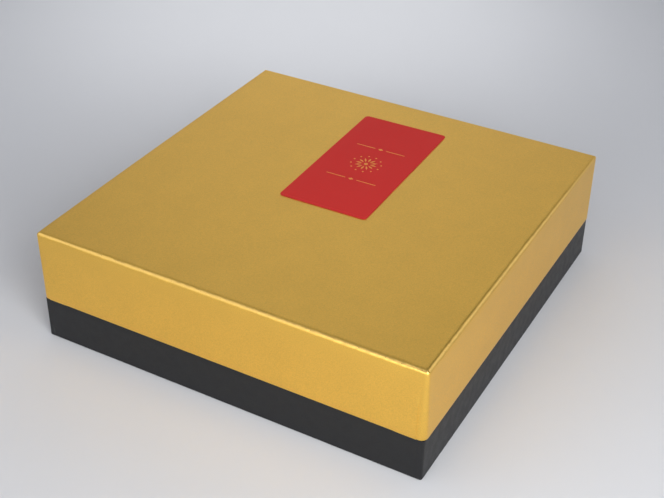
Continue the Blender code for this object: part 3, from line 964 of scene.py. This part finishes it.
class GIFTBOX_OT_studio(bpy.types.Operator):
    """Makes the backdrop sheet, the lights and the camera"""

    bl_idname = "giftbox.studio"
    bl_label = "Studio"

    SHEET_HALF_WIDTH = 2.4
    SHEET_FRONT = -1.4
    SHEET_FLAT_END = 0.80
    SHEET_BEND = 0.45
    SHEET_WALL = 1.6
    BEND_STEPS = 24
    ROOM_COLOUR = "D8E4FF"
    LIGHT_COLOUR = "FBFDFF"
    SPOT_RADIUS = 0.10
    # Each softbox: the setting that is its power, its place, its side and the point that it looks at
    SOFTBOXES = (
        ("left", (-0.74, -1.00, 0.74), 1.3, (0.0, 0.0, 0.0)),
        ("low", (0.10, -1.45, 0.40), 0.9, (0.0, 0.0, 0.0)),
        ("overhead", (-0.65, -0.10, 1.20), 1.0, (0.0, 0.0, 0.0)),
        ("near", (0.52, -0.46, 0.52), 0.4, (0.15, -0.10, 0.0)),
        ("right", (0.75, -0.55, 0.25), 0.4, (0.12, -0.10, 0.04)),
        ("edge", (0.96, 0.92, 0.58), 0.9, (0.0, 0.0, 0.0)),
    )
    # Each spot: the setting that is its power, its place, its cone in degrees and its aim
    SPOTS = (
        ("floor_spot", (-0.20, 0.60, 1.60), 22, (-0.22, 0.347, 0.0)),
        ("wall_spot", (0.10, -0.17, 1.90), 53, (-0.56, 1.12, 1.02)),
    )

    def execute(self, context):
        settings = context.scene.gift_box_studio
        self.sheet(settings)
        self.lights(context, settings)
        self.camera(context)
        context.scene.view_settings.view_transform = "Standard"
        return {"FINISHED"}

    def sheet(self, settings):
        """A sheet of backdrop paper that lies under the box and curves up behind it."""
        bm = bmesh.new()
        front = [bm.verts.new((side * self.SHEET_HALF_WIDTH, self.SHEET_FRONT, 0)) for side in (-1, 1)]
        edge = bm.edges.new(front)
        flat = bmesh.ops.extrude_edge_only(bm, edges=[edge])["geom"]
        ends = [item for item in flat if isinstance(item, bmesh.types.BMVert)]
        bmesh.ops.translate(bm, vec=(0, self.SHEET_FLAT_END - self.SHEET_FRONT, 0), verts=ends)
        back = [e for e in bm.edges if set(e.verts) == set(ends)]
        bend = bmesh.ops.spin(bm, geom=back + ends, cent=(0, self.SHEET_FLAT_END, self.SHEET_BEND),
                              axis=(1, 0, 0), angle=math.pi / 2, steps=self.BEND_STEPS)["geom_last"]
        top = bmesh.ops.extrude_edge_only(bm, edges=[e for e in bend if isinstance(e, bmesh.types.BMEdge)])
        wall = [item for item in top["geom"] if isinstance(item, bmesh.types.BMVert)]
        bmesh.ops.translate(bm, vec=(0, 0, self.SHEET_WALL), verts=wall)
        bmesh.ops.recalc_face_normals(bm, faces=list(bm.faces))
        bmesh.ops.rotate(bm, cent=(0, 0, 0), matrix=Matrix.Rotation(math.radians(CAMERA_AZIMUTH), 3, "Z"),
                         verts=bm.verts)
        sheet = new_object("backdrop_sheet", bm)
        sheet.data.shade_smooth()
        sheet.data.materials.append(self.sheet_finish(settings.sheet_colour))

    def sheet_finish(self, colour):
        """White background paper: matt and even, with a faint tooth."""
        material, tree, place = begin("white_background_paper", {"Roughness": 0.9})
        tooth = add(tree, "TexNoise", {"Vector": place, "Scale": repeats(60), "Detail": 3.0})
        tone = add(tree, "Mix", {0: tooth, 6: opaque(colour, 0.98), 7: opaque(colour)}, data_type="RGBA")
        feed(tree, colour=tone)
        return material

    def lights(self, context, settings):
        """The room's even light, the softboxes, and two soft-edged pools of light on the sheet."""
        world = bpy.data.worlds.new("room")
        world.use_nodes = True
        shade = world.node_tree.nodes["Background"]
        shade.inputs["Color"].default_value = opaque(linear(self.ROOM_COLOUR))
        shade.inputs["Strength"].default_value = settings.sky
        context.scene.world = world
        for name, place, side, aim in self.SOFTBOXES:
            light = bpy.data.lights.new(name + "_softbox", "AREA")
            light.shape = "SQUARE"
            light.size = side
            self.hang(light, getattr(settings, name), place, aim)
        for name, place, cone, aim in self.SPOTS:
            light = bpy.data.lights.new(name, "SPOT")
            light.shadow_soft_size = self.SPOT_RADIUS
            light.spot_size = math.radians(cone)
            light.spot_blend = 1.0
            self.hang(light, getattr(settings, name), place, aim)

    def hang(self, light, power, place, aim):
        """Puts the light in its place, out of the camera's sight, looking at its aim."""
        light.energy = power
        light.color = linear(self.LIGHT_COLOUR)
        lamp = bpy.data.objects.new(light.name, light)
        lamp.location = place
        lamp.rotation_mode = "QUATERNION"
        lamp.rotation_quaternion = (Vector(aim) - Vector(place)).to_track_quat("-Z", "Y")
        lamp.visible_camera = False
        bpy.context.scene.collection.objects.link(lamp)

    def camera(self, context):
        lens = bpy.data.cameras.new("camera")
        lens.sensor_width = CAMERA_SENSOR
        lens.lens = CAMERA_LENS
        lens.clip_start = 0.01
        camera = bpy.data.objects.new("camera", lens)
        turn = Matrix.Rotation(math.radians(CAMERA_AZIMUTH), 4, "Z")
        tilt = Matrix.Rotation(math.radians(90 - CAMERA_ELEVATION), 4, "X")
        roll = Matrix.Rotation(math.radians(CAMERA_ROLL), 4, "Z")
        camera.matrix_world = Matrix.Translation(CAMERA_PLACE) @ turn @ tilt @ roll
        context.scene.collection.objects.link(camera)
        context.scene.camera = camera


class GIFTBOX_PT_panel(bpy.types.Panel):
    """Lists the pieces of the gift box"""

    bl_idname = "GIFTBOX_PT_panel"
    bl_label = "Gift box"
    bl_space_type = "VIEW_3D"
    bl_region_type = "UI"
    bl_category = "Gift box"

    def draw(self, context):
        for operator in OPERATORS:
            self.layout.operator(operator.bl_idname)


OPERATORS = (
    GIFTBOX_OT_lid_paper,
    GIFTBOX_OT_base_paper,
    GIFTBOX_OT_label,
    GIFTBOX_OT_boards,
    GIFTBOX_OT_pad,
    GIFTBOX_OT_studio,
)
SETTINGS = {
    "gift_box_lid": LidPaperSettings,
    "gift_box_base": BasePaperSettings,
    "gift_box_label": LabelSettings,
    "gift_box_pad": PadSettings,
    "gift_box_studio": StudioSettings,
}


def register():
    for cls in (*SETTINGS.values(), *OPERATORS, GIFTBOX_PT_panel):
        bpy.utils.register_class(cls)
    for name, cls in SETTINGS.items():
        setattr(bpy.types.Scene, name, bpy.props.PointerProperty(type=cls))


def unregister():
    for name in SETTINGS:
        delattr(bpy.types.Scene, name)
    for cls in (GIFTBOX_PT_panel, *reversed(OPERATORS), *SETTINGS.values()):
        bpy.utils.unregister_class(cls)


def main():
    register()
    bpy.ops.giftbox.studio()
    bpy.ops.giftbox.lid_paper()
    bpy.ops.giftbox.base_paper()
    bpy.ops.giftbox.label()
    bpy.ops.giftbox.boards()
    bpy.ops.giftbox.pad()


if __name__ == "__main__":
    main()
